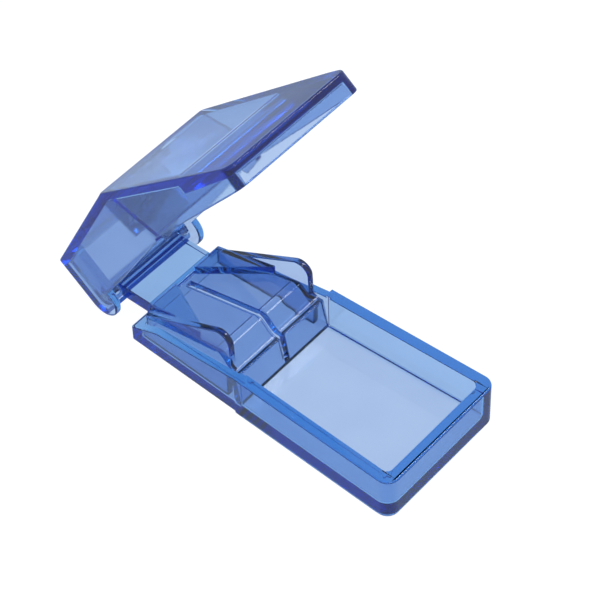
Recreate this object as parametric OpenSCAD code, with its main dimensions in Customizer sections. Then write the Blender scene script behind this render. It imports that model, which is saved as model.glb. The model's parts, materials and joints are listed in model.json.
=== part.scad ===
// Pocket pill splitter: a storage tray and a ramped pill cradle under a hinged cover that carries
// a blade. Millimetres, +Z up, +X towards the storage tray, origin at the centre of the underside.
// The model is drawn with the cover raised, which is the rest position of its hinge.

/* [Base] */
// Length of the base, without the hinge
base_l = 79; // [77:1:96]
// Width across the front of the storage tray and of the cover
base_w = 38; // [38:1:50]
// Angle at which each side closes in towards the hinge, in degrees
taper = 2.2; // [0:0.1:2.4]
// Height of the rim of the storage tray
rim_h = 12; // [12:0.2:16]
// Length of the part behind the storage tray
bed_l = 33; // [32:1:40]
// Thickness of the tray's side and front walls
wall = 2.9; // [2:0.1:3.2]
// Thickness of the walls beside the pill cradle
bed_wall = 2.1; // [1.6:0.1:2.4]
// Thickness of the base's rear wall
rear_wall = 2.6; // [2.2:0.1:3]
// Thickness of the base's floor
floor_t = 2; // [1.2:0.1:2.4]
// Height of the sloped shoulders where they meet the tray
shoulder_h = 11.4; // [10.6:0.1:11.8]
// Height of the knee in the shoulders
knee_h = 7.9; // [7:0.1:8.4]
// Distance of the knee from the base's rear end
knee_l = 8; // [6:0.5:10]
// Height of the shoulders at the base's rear end
shoulder_rear_h = 4.3; // [3.8:0.1:5]
// Inset of the rear half's sides behind the tray's sides
side_step = 0.4; // [0.2:0.1:0.6]
// Radius of the tray's and the cover's front corners
corner_r = 3; // [1:0.5:3]

/* [Cover] */
// Angle that the cover stands open at rest
open_angle = 51.5; // [0:0.5:90]
// Height of the cover's ridge when it is shut
ridge_h = 27.2; // [27:0.1:34]
// Distance of the ridge behind the tray
ridge_back = 8; // [7:0.2:10]
// Height of the cover's front wall
lid_front_h = 5.2; // [4.5:0.1:7]
// Height of the cover's rear top edge when it is shut
lid_rear_h = 19.3; // [19:0.1:24]
// Thickness of the cover's side, front and rear walls
lid_wall = 1.8; // [1.2:0.1:2]
// Thickness of the cover's top panels
panel_t = 2.2; // [1.5:0.1:2.4]
// Gap between the shut cover and the base
seam = 0.3; // [0.2:0.05:0.5]
// Length of the wedge-shaped press pad under the front of the cover
press_pad_l = 20; // [10:1:24]
// Extra thickness of the press pad at its rear end
press_pad_t = 2; // [0.8:0.1:2.2]
// Extra thickness of the press pad at its front end
press_pad_lip = 0.3; // [0.2:0.1:0.6]

/* [Hinge] */
// Distance of the hinge axis behind the base
hinge_back = 9.5; // [9:0.1:10.5]
// Height of the hinge axis
hinge_h = 6.3; // [6:0.1:7.5]
// Radius of the cover's rounded rear end about the hinge axis
heel_r = 4.8; // [4.8:0.1:5.4]
// Thickness of the cover's rounded rear end
heel_wall = 1.5; // [1.2:0.1:1.6]
// Diameter of the hinge pin
pin_d = 2; // [1.6:0.1:2.4]
// Outer diameter of the hinge barrel and knuckles
barrel_d = 4.8; // [4.2:0.1:5]
// Length of the base's hinge barrel
barrel_l = 20.5; // [16:0.5:21]
// Width of each knuckle on the cover
knuckle_w = 2.4; // [1.8:0.1:2.4]

/* [Pill cradle] */
// Height of the cradle's ramp at its rear end
ramp_low = 8.3; // [7.6:0.1:8.8]
// Height of the cradle's ramp at its crest
ramp_high = 13.9; // [13:0.1:14]
// Thickness of the cradle's ramp and front wall
cradle_t = 1.8; // [1.2:0.1:2]
// Thickness of the cradle's side cheeks
cheek_t = 1.7; // [1.2:0.1:2]
// Height of the humped tops of the side cheeks
cheek_h = 20.2; // [18:0.1:20.4]
// Height of the V-shaped pill guide above the ramp
guide_h = 2.4; // [1.6:0.1:3]
// Half angle of the V-shaped pill guide, in degrees
guide_angle = 28; // [24:1:28]
// Half width of the V at its narrow end
guide_mouth = 3; // [2:0.2:3.4]
// Width of the slot that the blade drops into
slot_w = 1.4; // [1:0.1:2]

/* [Blade] */
// Length of the blade along its edge
blade_l = 22; // [18:0.5:22]
// Height of the blade
blade_h = 11; // [9.5:0.5:11]
// Thickness of the blade
blade_t = 0.5; // [0.3:0.05:0.6]
// Height of the ground bevel along the edge
bevel_h = 1.6; // [1:0.1:2.5]
// Depth that the edge drops below the ramp when shut
bite = 0.8; // [0.5:0.1:1]
// Width of the blade holder
holder_w = 7; // [6:0.5:9]
// Diameter of the rivets through the blade
rivet_d = 2.4; // [1.6:0.1:2.6]

/* [Fits] */
// Radial clearance where the hinge pin turns
turn_fit = 0.06; // [0.03:0.01:0.1]
// Radial clearance where a pin or the blade is held
hold_fit = 0.03; // [0.02:0.01:0.05]
// Gap between the cradle and the base around it
drop_fit = 0.2; // [0.1:0.05:0.3]

/* [Hidden] */
$fn = 96;
tiny = 0.01;
margin = 1;

// Places along X
front_x = base_l / 2;
rear_x = -base_l / 2;
bed_x = rear_x + bed_l;
hinge_x = rear_x - hinge_back;
lid_rear_x = hinge_x - heel_r;
pocket_x = rear_x + rear_wall;

// The sides: how far inside the tray's tapering outline each face lies
tray_y = base_w / 2;
function side_y(x, inset) = tray_y - inset - (front_x - x) * tan(taper);
bed_pocket_inset = side_step + bed_wall;
lid_inset = side_step + lid_wall;
knee_x = rear_x + knee_l;

// The web that ties the hinge barrel to the base, and the knuckle arms and heel of the cover
web_below = 1.4;
web_step = 0.2;
web_above = barrel_d / 2 - web_step;
heel_end = 236;
arm_half = 2.6;
knuckle_gap = 0.3;
knuckle_y = barrel_l / 2 + knuckle_gap;
pin_half_l = knuckle_y + knuckle_w;

// The cover's two top panels
ridge_x = bed_x - ridge_back;
lid_front_top = rim_h + seam + lid_front_h;
front_pitch = atan((ridge_h - lid_front_top) / (front_x - ridge_x));
rear_pitch = atan((ridge_h - lid_rear_h) / (ridge_x - lid_rear_x));
function top_z(x) = x > ridge_x
    ? ridge_h - (x - ridge_x) * tan(front_pitch)
    : ridge_h - (ridge_x - x) * tan(rear_pitch);
function under_z(x) = top_z(x) - panel_t;
bulkhead_t = 1.6;
bulkhead_back = 0.2;
bulkhead_foot_x = bed_x - bulkhead_back;
bulkhead_lead = 2;
bulkhead_top_x = ridge_x + bulkhead_lead;
pad_back = 3;
pad_x = front_x - pad_back;

// The cradle: its ramp climbs from the pocket's rear end to a crest, then rolls over to the tray
cradle_inset = bed_pocket_inset + drop_fit;
cradle_rear_x = pocket_x + drop_fit;
cradle_top_back = 0.3;
cradle_top_x = bed_x - cradle_top_back;
cradle_foot_out = 1.2;
cradle_foot_x = bed_x + cradle_foot_out;
crest_back = 6.8;
crest_x = bed_x - crest_back;
crest_l = 0.6;
crest_end_x = crest_x + crest_l;
roll_l = 4.8;
roll_drop = 3.5;
roll_steps = 12;
ramp_pitch = atan((ramp_high - ramp_low) / (crest_x - cradle_rear_x));
cheek_step = 0.2;
cheek_low = ramp_low - cheek_step;
hump_r = 3.1;
hump_back = 3.2;
hump_x = bed_x - hump_back - hump_r;
guide_in = 0.2;
guide_x = cradle_rear_x + guide_in;
guide_back = 6.2;
guide_end_x = crest_x - guide_back;
slot_in = 1.4;
slot_x = cradle_rear_x + slot_in;
bridge_h = 1.4;

// The blade's own frame: the rear end of its edge is the origin, and the edge runs along +X
edge_back = 2.2;
edge_x = cradle_rear_x + edge_back;
edge_z = ramp_low - bite + edge_back * tan(ramp_pitch);
edge_flat = 0.04;
grip_depth = 5.5;
grip_h = blade_h - grip_depth;
holder_lip = 0.8;
rivet_end = 5.5;
rivet_places = [rivet_end, blade_l - rivet_end];
rivet_drop = 3;
rivet_h = blade_h - rivet_drop;
rib_t = 1.4;
rib_drop = 5;
rib_back = 1;

// Places what the cover carries at its rest angle; the children are drawn with the cover shut
module raised() {
    translate([hinge_x, 0, hinge_h])
        rotate([0, -open_angle, 0])
            translate([-hinge_x, 0, -hinge_h])
                children();
}

// Extrudes an outline drawn in X and Z across the width, from -half_w to half_w
module across(half_w) {
    rotate([90, 0, 0])
        linear_extrude(2 * half_w, center = true)
            children();
}

// Everything between the tapering sides, set in from the tray's outline by inset
module between_sides(inset) {
    x0 = lid_rear_x - margin;
    translate([0, 0, -margin])
        linear_extrude(ridge_h + 2 * margin)
            polygon([
                [x0, -side_y(x0, inset)],
                [front_x, -side_y(front_x, inset)],
                [front_x, side_y(front_x, inset)],
                [x0, side_y(x0, inset)]
            ]);
}

// Fills an outline drawn in X and Z from side to side
module side_to_side(inset) {
    intersection() {
        across(tray_y)
            children();
        between_sides(inset);
    }
}

// The same for a wall along both sides, between two insets
module along_sides(outer, inner) {
    difference() {
        side_to_side(outer)
            children();
        between_sides(inner);
    }
}

// An outline drawn in X and Z, on both sides of the middle
module on_both_sides(inner, outer) {
    for (side = [-1, 1])
        translate([0, side * (inner + outer) / 2, 0])
            across((outer - inner) / 2)
                children();
}

// A plan outline with tapering sides and rounded front corners
module plan(x0, x1, inset, r) {
    corner_x = x1 - r;
    corner_y = side_y(corner_x, inset) - r / cos(taper);
    touch_x = corner_x - r * sin(taper);
    touch_y = corner_y + r * cos(taper);
    polygon([
        [x0, -side_y(x0, inset)],
        [touch_x, -touch_y],
        [x1, -corner_y],
        [x1, corner_y],
        [touch_x, touch_y],
        [x0, side_y(x0, inset)]
    ]);
    for (side = [-1, 1])
        translate([corner_x, side * corner_y])
            circle(r);
}

module pivot_disc(r) {
    translate([hinge_x, hinge_h])
        circle(r);
}

// ---- base ----

module tray_block() {
    linear_extrude(rim_h)
        plan(bed_x, front_x, 0, corner_r);
}

module shoulder_block() {
    side_to_side(side_step)
        polygon([
            [rear_x, 0],
            [bed_x + corner_r, 0],
            [bed_x + corner_r, shoulder_h],
            [bed_x, shoulder_h],
            [knee_x, knee_h],
            [rear_x, shoulder_rear_h]
        ]);
}

// The storage tray, and the narrower pocket behind it that takes the cradle
module base_pocket() {
    translate([0, 0, floor_t])
        linear_extrude(base_w)
            plan(bed_x, front_x - wall, wall, corner_r / 2);
    side_to_side(bed_pocket_inset)
        translate([pocket_x, floor_t])
            square([cradle_foot_x + drop_fit - pocket_x, ridge_h]);
}

// The barrel, and the web and raised lip that tie it to the rear wall
module barrel_outline() {
    pivot_disc(barrel_d / 2);
    translate([hinge_x, hinge_h - web_below])
        square([pocket_x - hinge_x, web_below + web_above]);
    translate([rear_x, floor_t])
        square([pocket_x - rear_x, hinge_h + web_above - floor_t]);
}

module hinge_barrel() {
    difference() {
        across(barrel_l / 2)
            barrel_outline();
        across(base_w)
            pivot_disc(pin_d / 2 + turn_fit);
    }
}

module base() {
    color([0.25, 0.42, 0.86, 0.6])
        union() {
            difference() {
                union() {
                    tray_block();
                    shoulder_block();
                }
                base_pocket();
            }
            hinge_barrel();
        }
}

// ---- pill cradle ----

// Height lost at step i of the roll from the crest down to the tray
function roll(i) = roll_drop * (1 - cos(180 * i / roll_steps)) / 2;

module ramp_outline(drop, back) {
    polygon(concat(
        [[cradle_rear_x, ramp_low - drop]],
        [[crest_x - back, ramp_high - back * tan(ramp_pitch) - drop]],
        [for (i = [0:roll_steps])
            [crest_end_x + roll_l * i / roll_steps - back, ramp_high - roll(i) - drop]],
        [[cradle_top_x - back, ramp_high - roll_drop - drop]],
        [[cradle_foot_x - back, floor_t], [cradle_rear_x, floor_t]]
    ));
}

// Where a line from a point touches the left side of a circle
function tangent_point(from, centre, r) =
    let (
        reach = norm(from - centre),
        facing = atan2(from[1] - centre[1], from[0] - centre[0]),
        turn = facing - acos(r / reach)
    )
    centre + r * [cos(turn), sin(turn)];

module cheek_outline() {
    hump = [hump_x, cheek_h - hump_r];
    heel = [cradle_rear_x, cheek_low];
    polygon([
        [cradle_rear_x, floor_t],
        heel,
        tangent_point(heel, hump, hump_r),
        hump,
        [hump_x + hump_r, cheek_h - hump_r],
        [hump_x + hump_r, floor_t]
    ]);
    translate(hump)
        circle(hump_r);
}

// One half of the V in plan; side is 1 or -1
module guide_plan(side) {
    reach = guide_end_x - guide_x;
    polygon([
        [guide_x, side * guide_mouth],
        [guide_end_x, side * (guide_mouth + reach * tan(guide_angle))],
        [guide_end_x, side * tray_y],
        [guide_x, side * tray_y]
    ]);
}

module pill_guide() {
    intersection() {
        side_to_side(cradle_inset + cheek_t)
            difference() {
                translate([0, guide_h])
                    ramp_outline(0, 0);
                ramp_outline(cradle_t / 2, 0);
            }
        for (side = [-1, 1])
            linear_extrude(base_w)
                guide_plan(side);
    }
}

module pill_cradle() {
    color([0.30, 0.48, 0.90, 0.6])
        difference() {
            union() {
                side_to_side(cradle_inset)
                    difference() {
                        ramp_outline(0, 0);
                        translate([0, -tiny])
                            ramp_outline(cradle_t, cradle_t);
                    }
                along_sides(cradle_inset, cradle_inset + cheek_t)
                    cheek_outline();
                pill_guide();
            }
            translate([slot_x, -slot_w / 2, floor_t + bridge_h])
                cube([base_l, slot_w, base_w]);
        }
}

// ---- cover ----

module lid_outline() {
    polygon([
        [front_x, rim_h + seam],
        [front_x, lid_front_top],
        [ridge_x, ridge_h],
        [lid_rear_x, lid_rear_h],
        [lid_rear_x, hinge_h],
        [hinge_x, hinge_h],
        [knee_x, knee_h + seam],
        [bed_x - seam, shoulder_h + seam],
        [bed_x - seam, rim_h + seam]
    ]);
}

module lid_cavity_outline() {
    polygon([
        [front_x - lid_wall, 0],
        [front_x - lid_wall, under_z(front_x - lid_wall)],
        [ridge_x, under_z(ridge_x)],
        [lid_rear_x + heel_wall, under_z(lid_rear_x + heel_wall)],
        [lid_rear_x + heel_wall, 0]
    ]);
}

// The curved heel under the rear wall, centred on the hinge axis
module heel_outline() {
    intersection() {
        difference() {
            pivot_disc(heel_r);
            pivot_disc(heel_r - heel_wall);
        }
        translate([hinge_x, hinge_h])
            polygon([
                [0, 0],
                [-2 * heel_r, 0],
                [-2 * heel_r, -2 * heel_r],
                [2 * heel_r * cos(heel_end), 2 * heel_r * sin(heel_end)]
            ]);
    }
}

// A strip under the top panels between two places along X, with its depth at each
module under_strip(x0, depth_0, x1, depth_1) {
    polygon([
        [x0, under_z(x0) + tiny],
        [x1, under_z(x1) + tiny],
        [x1, under_z(x1) - depth_1],
        [x0, under_z(x0) - depth_0]
    ]);
}

module knuckle_arm_outline() {
    pivot_disc(barrel_d / 2);
    polygon([
        [hinge_x - arm_half, hinge_h],
        [hinge_x + arm_half, hinge_h],
        [hinge_x + arm_half, under_z(hinge_x + arm_half) + tiny],
        [hinge_x - arm_half, under_z(hinge_x - arm_half) + tiny]
    ]);
}

// The cover's full width: in front of a line from the tray's end up to the ridge
module full_width_region() {
    polygon([
        [bed_x - seam, 0],
        [bed_x - seam, rim_h + seam],
        [ridge_x, ridge_h],
        [ridge_x, ridge_h + margin],
        [front_x, ridge_h + margin],
        [front_x, 0]
    ]);
}

module lid_shell() {
    intersection() {
        union() {
            difference() {
                across(tray_y)
                    lid_outline();
                side_to_side(lid_inset)
                    lid_cavity_outline();
            }
            along_sides(side_step, lid_inset)
                pivot_disc(heel_r);
            side_to_side(side_step)
                heel_outline();
        }
        union() {
            across(tray_y)
                full_width_region();
            between_sides(side_step);
        }
        linear_extrude(ridge_h)
            plan(lid_rear_x, front_x, 0, corner_r);
    }
}

// The wall that closes off the tray from the blade; it leans back towards the ridge
module bulkhead() {
    sill = rim_h + 2 * seam;
    side_to_side(lid_inset)
        polygon([
            [bulkhead_foot_x, sill],
            [bulkhead_foot_x + bulkhead_t, sill],
            [bulkhead_top_x + bulkhead_t, under_z(bulkhead_top_x + bulkhead_t) + tiny],
            [bulkhead_top_x, under_z(bulkhead_top_x) + tiny]
        ]);
}

module lid() {
    rib_y = holder_w / 2 + hold_fit;
    color([0.24, 0.40, 0.85, 0.55])
        raised()
            difference() {
                union() {
                    lid_shell();
                    bulkhead();
                    side_to_side(lid_inset)
                        under_strip(pad_x - press_pad_l, press_pad_t, pad_x, press_pad_lip);
                    on_both_sides(knuckle_y, knuckle_y + knuckle_w)
                        knuckle_arm_outline();
                    on_both_sides(rib_y, rib_y + rib_t)
                        under_strip(edge_x, rib_drop, ridge_x - rib_back, rib_drop);
                }
                across(pin_half_l)
                    pivot_disc(pin_d / 2 + hold_fit);
            }
}

// ---- blade and its holder ----

// Places an outline drawn in the blade's own frame
module on_edge() {
    translate([edge_x, edge_z])
        rotate(ramp_pitch)
            children();
}

module rivet_discs(r) {
    for (place = rivet_places)
        translate([place, rivet_h])
            circle(r);
}

module blade_holder() {
    color([0.32, 0.50, 0.92, 0.6])
        raised()
            difference() {
                across(holder_w / 2)
                    intersection() {
                        lid_cavity_outline();
                        on_edge()
                            translate([-holder_lip, grip_h])
                                square([blade_l + 2 * holder_lip, base_w]);
                    }
                across(blade_t / 2 + hold_fit)
                    on_edge()
                        translate([-hold_fit, 0])
                            square([blade_l + 2 * hold_fit, blade_h + hold_fit]);
                across(holder_w)
                    on_edge()
                        rivet_discs(rivet_d / 2 + hold_fit);
            }
}

// The section across the blade, from its edge up
module blade_section() {
    polygon([
        [-edge_flat / 2, 0],
        [edge_flat / 2, 0],
        [blade_t / 2, bevel_h],
        [blade_t / 2, blade_h],
        [-blade_t / 2, blade_h],
        [-blade_t / 2, bevel_h]
    ]);
}

module blade() {
    color([0.80, 0.82, 0.84])
        raised()
            difference() {
                translate([edge_x, 0, edge_z])
                    rotate([0, -ramp_pitch, 0])
                        rotate([90, 0, 90])
                            linear_extrude(blade_l)
                                blade_section();
                across(blade_t)
                    on_edge()
                        rivet_discs(rivet_d / 2 + hold_fit);
            }
}

module blade_rivets() {
    color([0.70, 0.72, 0.75])
        raised()
            across(holder_w / 2)
                on_edge()
                    rivet_discs(rivet_d / 2);
}

module hinge_pin() {
    color([0.62, 0.64, 0.68])
        raised()
            across(pin_half_l)
                pivot_disc(pin_d / 2);
}

base();
pill_cradle();
lid();
blade_holder();
blade();
blade_rivets();
hinge_pin();
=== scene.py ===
import bmesh
import bpy
import json
from math import cos, inf, radians, sin
from mathutils import Matrix, Vector


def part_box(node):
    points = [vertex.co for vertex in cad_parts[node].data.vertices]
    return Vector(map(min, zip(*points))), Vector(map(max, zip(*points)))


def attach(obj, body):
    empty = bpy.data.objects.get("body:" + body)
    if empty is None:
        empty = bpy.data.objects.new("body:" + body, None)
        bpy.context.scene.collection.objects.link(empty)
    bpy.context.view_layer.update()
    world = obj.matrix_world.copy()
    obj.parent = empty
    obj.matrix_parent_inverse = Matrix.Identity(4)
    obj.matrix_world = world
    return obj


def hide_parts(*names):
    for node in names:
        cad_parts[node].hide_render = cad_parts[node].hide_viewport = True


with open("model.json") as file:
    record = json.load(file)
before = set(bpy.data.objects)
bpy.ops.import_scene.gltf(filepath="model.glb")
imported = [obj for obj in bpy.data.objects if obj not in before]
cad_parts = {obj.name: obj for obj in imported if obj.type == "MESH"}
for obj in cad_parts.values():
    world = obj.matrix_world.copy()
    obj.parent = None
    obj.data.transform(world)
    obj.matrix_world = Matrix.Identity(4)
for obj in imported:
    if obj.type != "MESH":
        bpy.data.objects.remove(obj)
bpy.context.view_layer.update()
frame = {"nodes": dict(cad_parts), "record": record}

MM = 0.001

# Camera: where it looks from, in degrees round the object and above the floor, and in
# metres; its sensor and lens are in millimetres
AZIMUTH = 41.7
ELEVATION = 48.57
ROLL = -1.96
DISTANCE = 0.5739
TARGET = Vector((-0.00114, 0.0, 0.02707))
SENSOR = 36.0
LENS = 156.67

# Studio: the sky all round, and two area lights, each with its place, size and power
SKY_COLOUR = (0.72, 0.84, 1.0, 1)
SKY_STRENGTH = 0.75
KEY_LIGHT = ((0.25, -0.15, 0.6), 0.25, 0.6)
REAR_LIGHT = ((0.08, 0.30, 0.50), 0.15, 0.5)
LIGHT_BOUNCES = 48

# Floor: its size, the gap under the object, its surface, and its glow: seen directly or
# through the plastic, and as mirrored in a surface
FLOOR_SIZE = 3
FLOOR_GAP = 0.2 * MM
FLOOR_DARK = (0.08, 0.08, 0.08, 1)
FLOOR_PALE = (0.09, 0.09, 0.09, 1)
FLOOR_ROUGHNESS = 0.8
FLOOR_GLOW = (0.97, 0.97, 0.97, 1)
FLOOR_MIRRORED = (0.36, 0.46, 0.62, 1)

# Meshes: angle of a sharp edge, of faces taken as one plane and of an edge that bends on,
# and how close two points or two heights have to be to count as the same
SHARP = radians(25)
FLAT = radians(0.4)
CONTINUES = radians(35)
WELD = 0.002 * MM
SAME_HEIGHT = 0.01 * MM

# Rounding: the share of the room beside an edge that it may take, a small radius near the
# hinge, and a large fillet round the tray's floor, from just behind the cradle's front
EDGE_ROOM = 0.4
BEVEL_STEPS = 3
HINGE_REACH = 3.0 * MM
HINGE_RADIUS = 0.1 * MM
FOOT_FILLET = 1.3 * MM
FOOT_STEPS = 5
FOOT_OVERLAP = 1.0 * MM
FLAT_FACE_WEIGHT = 100

# Noise: nearly all of its values lie between these two
NOISE_LOW = 0.3
NOISE_HIGH = 0.7

# Plastic: tints of its surface, the dye all through it, and its waves and scuffs
PLASTIC_LIGHT = (0.66, 0.69, 0.87, 1)
PLASTIC_DEEP = (0.63, 0.66, 0.85, 1)
PLASTIC_CLARITY = 0.97
PLASTIC_IOR = 1.49
DYE_COLOUR = (0.06, 0.60, 0.91, 1)
DYE_DENSITY = 220
WAVE_DEPTH = 0.15 * MM
SCUFF_DEPTH = 0.01 * MM

# Steel: its colours, how dark its stains are, and the depth of its fine marks
BLADE_COLOUR = (0.72, 0.74, 0.77)
RIVET_COLOUR = (0.66, 0.68, 0.71)
PIN_COLOUR = (0.62, 0.64, 0.67)
STAIN_DARKNESS = 0.8
MARK_DEPTH = 0.01 * MM

# Directions that a noise is drawn out in
EVEN = (1, 1, 1)
SCUFFED_ALONG_X = (1, 14, 14)
GROUND_ALONG_X = (1, 30, 30)
GROUND_ALONG_Y = (30, 1, 30)


# ---- meshes ----

def line_of(loop):
    """The line along a loop's edge"""
    return loop.link_loop_next.vert.co - loop.vert.co


def chain_end(loop, step):
    """Vertices of the edges that carry an edge on round a smooth bend, on one side of it"""
    passed = set()
    here = loop
    turned = 0.0
    while turned < 2 * CONTINUES:
        there = here.link_loop_next if step > 0 else here.link_loop_prev
        turn = line_of(here).angle(line_of(there), 0.0)
        if turn > CONTINUES or there is loop:
            break
        turned += turn
        passed.update(there.edge.verts)
        here = there
    return passed


def is_sharp(edge):
    """True where two faces meet at a clear angle"""
    return len(edge.link_faces) == 2 and edge.calc_face_angle() > SHARP


def distance(point, edge):
    """Distance from a point to the nearest place on an edge"""
    start = edge.verts[0].co
    along = (edge.verts[1].co - start).normalized()
    reach = (point - start).dot(along)
    nearest = start + along * min(max(reach, 0.0), edge.calc_length())
    return (point - nearest).length


def room_beside(edge):
    """Distance across an edge's two faces to the nearest vertex or sharp edge"""
    room = inf
    for loop in edge.link_loops:
        skip = set(edge.verts) | chain_end(loop, 1) | chain_end(loop, -1)
        for vert in loop.face.verts:
            if vert not in skip:
                room = min(room, distance(vert.co, edge))
        for other in loop.face.edges:
            if is_sharp(other) and not skip & set(other.verts):
                room = min([room] + [distance(vert.co, other) for vert in edge.verts])
    return room


def at_hinge(edge):
    """True for an edge close to the hinge's axis, where the knuckles leave little room"""
    x, _, z = frame["record"]["behaviour"]["joints"][0]["pos_m"]
    return all(Vector((v.co.x - x, v.co.z - z)).length < HINGE_REACH for v in edge.verts)


def tray_foot(edge):
    """True for the concave edges round the storage tray's floor, which the cradle stands on"""
    (_, _, floor_z), (cradle_end, _, _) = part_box("pill_cradle")
    on_floor = all(abs(v.co.z - floor_z) < SAME_HEIGHT for v in edge.verts)
    in_tray = all(v.co.x > cradle_end - FOOT_OVERLAP for v in edge.verts)
    return on_floor and in_tray and not edge.is_convex


def clean_mesh(node):
    """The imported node's faces, with its triangles joined back into flat faces"""
    bm = bmesh.new()
    bm.from_mesh(frame["nodes"][node].data)
    bmesh.ops.remove_doubles(bm, verts=bm.verts, dist=WELD)
    bmesh.ops.dissolve_limit(bm, angle_limit=FLAT, verts=bm.verts, edges=bm.edges)
    return bm


def weigh_edges(bm, radius, widest, foot):
    """Gives each sharp edge its radius, as a share of the widest one"""
    weight = bm.edges.layers.float.new("bevel_weight_edge")
    for edge in bm.edges:
        if not is_sharp(edge):
            continue
        if foot and foot(edge):
            edge[weight] = 1.0
        else:
            most = min(radius, HINGE_RADIUS) if at_hinge(edge) else radius
            edge[weight] = min(most, EDGE_ROOM * room_beside(edge)) / widest


def add_rounding(piece, width, steps):
    """Bevels the weighed edges, and shades the large faces flat between them"""
    bevel = piece.modifiers.new("rounding", "BEVEL")
    bevel.limit_method = "WEIGHT"
    bevel.width = width
    bevel.segments = steps
    bevel.use_clamp_overlap = False
    normals = piece.modifiers.new("normals", "WEIGHTED_NORMAL")
    normals.keep_sharp = False
    normals.weight = FLAT_FACE_WEIGHT


def rounded_piece(node, body, radius, foot=None):
    """A piece for one node with rounded edges; foot tells which edges take the large fillet"""
    bm = clean_mesh(node)
    widest = FOOT_FILLET if foot else radius
    weigh_edges(bm, radius, widest, foot)
    for face in bm.faces:
        face.smooth = True
    mesh = bpy.data.meshes.new(node + "_moulded")
    bm.to_mesh(mesh)
    bm.free()
    piece = bpy.data.objects.new(node + "_moulded", mesh)
    bpy.context.scene.collection.objects.link(piece)
    add_rounding(piece, widest, FOOT_STEPS if foot else BEVEL_STEPS)
    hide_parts(node)
    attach(piece, body)
    return piece


# ---- materials ----

def new_material(name):
    """A material, its node tree and the shader in it"""
    material = bpy.data.materials.new(name)
    material.use_nodes = True
    tree = material.node_tree
    return material, tree, tree.nodes["Principled BSDF"]


def object_coordinates(tree, stretch):
    """Places in the object's own space; a larger number packs a pattern closer that way"""
    place = tree.nodes.new("ShaderNodeTexCoord")
    scaling = tree.nodes.new("ShaderNodeMapping")
    scaling.inputs["Scale"].default_value = stretch
    tree.links.new(place.outputs["Object"], scaling.inputs["Vector"])
    return scaling.outputs["Vector"]


def noise(tree, vector, scale, detail):
    """Soft random values; scale is the number of lumps in a metre"""
    node = tree.nodes.new("ShaderNodeTexNoise")
    node.inputs["Scale"].default_value = scale
    node.inputs["Detail"].default_value = detail
    tree.links.new(vector, node.inputs["Vector"])
    return node.outputs["Fac"]


def spread(tree, value, low, high):
    """A noise value laid out between two numbers"""
    node = tree.nodes.new("ShaderNodeMapRange")
    node.inputs["From Min"].default_value = NOISE_LOW
    node.inputs["From Max"].default_value = NOISE_HIGH
    node.inputs["To Min"].default_value = low
    node.inputs["To Max"].default_value = high
    tree.links.new(value, node.inputs["Value"])
    return node.outputs["Result"]


def blend_colours(tree, factor, first, second):
    """The first colour where the factor is 0, and the second where it is 1"""
    node = tree.nodes.new("ShaderNodeMix")
    node.data_type = "RGBA"
    node.inputs["A"].default_value = first
    node.inputs["B"].default_value = second
    tree.links.new(factor, node.inputs["Factor"])
    return node.outputs["Result"]


def bump(tree, height, depth, strength, under=None):
    """Fine relief of a given depth, on top of the relief under it"""
    node = tree.nodes.new("ShaderNodeBump")
    node.inputs["Distance"].default_value = depth
    node.inputs["Strength"].default_value = strength
    tree.links.new(height, node.inputs["Height"])
    if under is not None:
        tree.links.new(under, node.inputs["Normal"])
    return node.outputs["Normal"]


def blue_plastic(name):
    """Clear moulded plastic, dyed blue right through, slightly wavy and finely scuffed"""
    material, tree, shader = new_material(name)
    flow = noise(tree, object_coordinates(tree, EVEN), scale=90, detail=2)
    scuffs = noise(tree, object_coordinates(tree, SCUFFED_ALONG_X), scale=260, detail=4)
    tint = blend_colours(tree, spread(tree, flow, 0, 1), PLASTIC_LIGHT, PLASTIC_DEEP)
    tree.links.new(tint, shader.inputs["Base Color"])
    tree.links.new(spread(tree, scuffs, low=0.015, high=0.07), shader.inputs["Roughness"])
    waves = bump(tree, flow, WAVE_DEPTH, strength=0.1)
    relief = bump(tree, scuffs, SCUFF_DEPTH, strength=0.25, under=waves)
    tree.links.new(relief, shader.inputs["Normal"])
    shader.inputs["Transmission Weight"].default_value = PLASTIC_CLARITY
    shader.inputs["IOR"].default_value = PLASTIC_IOR
    dye = tree.nodes.new("ShaderNodeVolumeAbsorption")
    dye.inputs["Color"].default_value = DYE_COLOUR
    dye.inputs["Density"].default_value = DYE_DENSITY
    tree.links.new(dye.outputs["Volume"], tree.nodes["Material Output"].inputs["Volume"])
    return material


def steel(name, colour, stretch, smooth, rough):
    """Faintly stained steel with fine marks, drawn out one way where it was ground"""
    material, tree, shader = new_material(name)
    marks = noise(tree, object_coordinates(tree, stretch), scale=400, detail=5)
    stains = noise(tree, object_coordinates(tree, EVEN), scale=160, detail=3)
    stained = [STAIN_DARKNESS * c for c in colour] + [1]
    shades = blend_colours(tree, spread(tree, stains, 0, 1), stained, [*colour, 1])
    tree.links.new(shades, shader.inputs["Base Color"])
    tree.links.new(spread(tree, marks, smooth, rough), shader.inputs["Roughness"])
    tree.links.new(bump(tree, marks, MARK_DEPTH, strength=0.4), shader.inputs["Normal"])
    shader.inputs["Metallic"].default_value = 1.0
    return material


def floor_material():
    """Pale studio floor, evenly lit by its own glow, and dimmer where it is mirrored"""
    material, tree, shader = new_material("pale_floor")
    grain = noise(tree, object_coordinates(tree, EVEN), scale=500, detail=3)
    tint = blend_colours(tree, spread(tree, grain, 0, 1), FLOOR_DARK, FLOOR_PALE)
    tree.links.new(tint, shader.inputs["Base Color"])
    shader.inputs["Roughness"].default_value = FLOOR_ROUGHNESS
    path = tree.nodes.new("ShaderNodeLightPath")
    glow = blend_colours(tree, path.outputs["Is Reflection Ray"], FLOOR_GLOW, FLOOR_MIRRORED)
    tree.links.new(glow, shader.inputs["Emission Color"])
    shader.inputs["Emission Strength"].default_value = 1.0
    return material


# ---- scene ----

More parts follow.
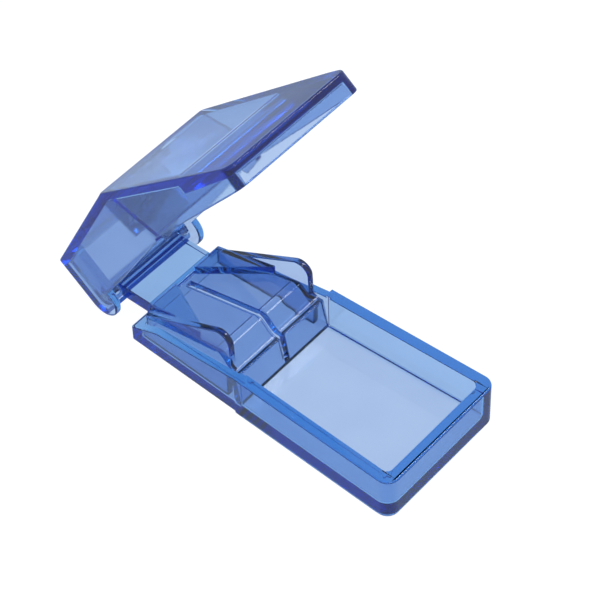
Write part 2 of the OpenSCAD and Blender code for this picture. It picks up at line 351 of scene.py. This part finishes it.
def make_camera():
    """The camera, at the photograph's viewing angle"""
    azimuth, elevation = radians(AZIMUTH), radians(ELEVATION)
    back = Vector((sin(azimuth) * cos(elevation), -cos(azimuth) * cos(elevation), sin(elevation)))
    data = bpy.data.cameras.new("camera")
    data.sensor_width = SENSOR
    data.lens = LENS
    camera = bpy.data.objects.new("camera", data)
    bpy.context.scene.collection.objects.link(camera)
    aim = (-back).to_track_quat("-Z", "Y").to_matrix().to_4x4()
    place = Matrix.Translation(TARGET + back * DISTANCE)
    camera.matrix_world = place @ aim @ Matrix.Rotation(radians(ROLL), 4, "Z")
    bpy.context.scene.camera = camera


def soft_light(name, place, size, power):
    """A square area light that faces the object"""
    data = bpy.data.lights.new(name, "AREA")
    data.size = size
    data.energy = power
    light = bpy.data.objects.new(name, data)
    bpy.context.scene.collection.objects.link(light)
    light.location = place
    light.rotation_euler = (-Vector(place)).to_track_quat("-Z", "Y").to_euler()


def make_sky():
    """Even, slightly blue light from all round"""
    world = bpy.data.worlds.new("studio")
    world.use_nodes = True
    background = world.node_tree.nodes["Background"]
    background.inputs["Color"].default_value = SKY_COLOUR
    background.inputs["Strength"].default_value = SKY_STRENGTH
    bpy.context.scene.world = world


def make_floor():
    """The floor that the splitter stands on"""
    bpy.ops.mesh.primitive_plane_add(size=FLOOR_SIZE, location=(0, 0, -FLOOR_GAP))
    floor = bpy.context.object
    floor.name = "floor"
    floor.data.materials.append(floor_material())


def make_studio():
    """Sky, lights and floor, with bounces enough to see through every wall"""
    scene = bpy.context.scene
    scene.view_settings.view_transform = "Standard"
    scene.cycles.max_bounces = LIGHT_BOUNCES
    scene.cycles.transmission_bounces = LIGHT_BOUNCES
    scene.cycles.glossy_bounces = LIGHT_BOUNCES
    make_sky()
    soft_light("key", *KEY_LIGHT)
    soft_light("rear", *REAR_LIGHT)
    make_floor()


def make_pieces():
    """Every moulding and steel part: node, body and radius of its edges, and material"""
    blue = blue_plastic("clear_blue")
    bright = steel("blade_steel_ground", BLADE_COLOUR, GROUND_ALONG_X, smooth=0.16, rough=0.34)
    satin = steel("rivet_steel_satin", RIVET_COLOUR, EVEN, smooth=0.24, rough=0.42)
    rod = steel("pin_steel_drawn", PIN_COLOUR, GROUND_ALONG_Y, smooth=0.2, rough=0.4)
    made = [
        (rounded_piece("base", "base_body", 0.45 * MM, tray_foot), blue),
        (rounded_piece("pill_cradle", "base_body", 0.3 * MM), blue),
        (rounded_piece("lid", "lid_body", 0.45 * MM), blue),
        (rounded_piece("blade_holder", "lid_body", 0.3 * MM), blue),
        (rounded_piece("blade", "lid_body", 0.05 * MM), bright),
        (rounded_piece("blade_rivets", "lid_body", 0.2 * MM), satin),
        (rounded_piece("hinge_pin", "lid_body", 0.25 * MM), rod),
    ]
    for piece, material in made:
        piece.data.materials.append(material)


make_camera()
make_studio()
make_pieces()
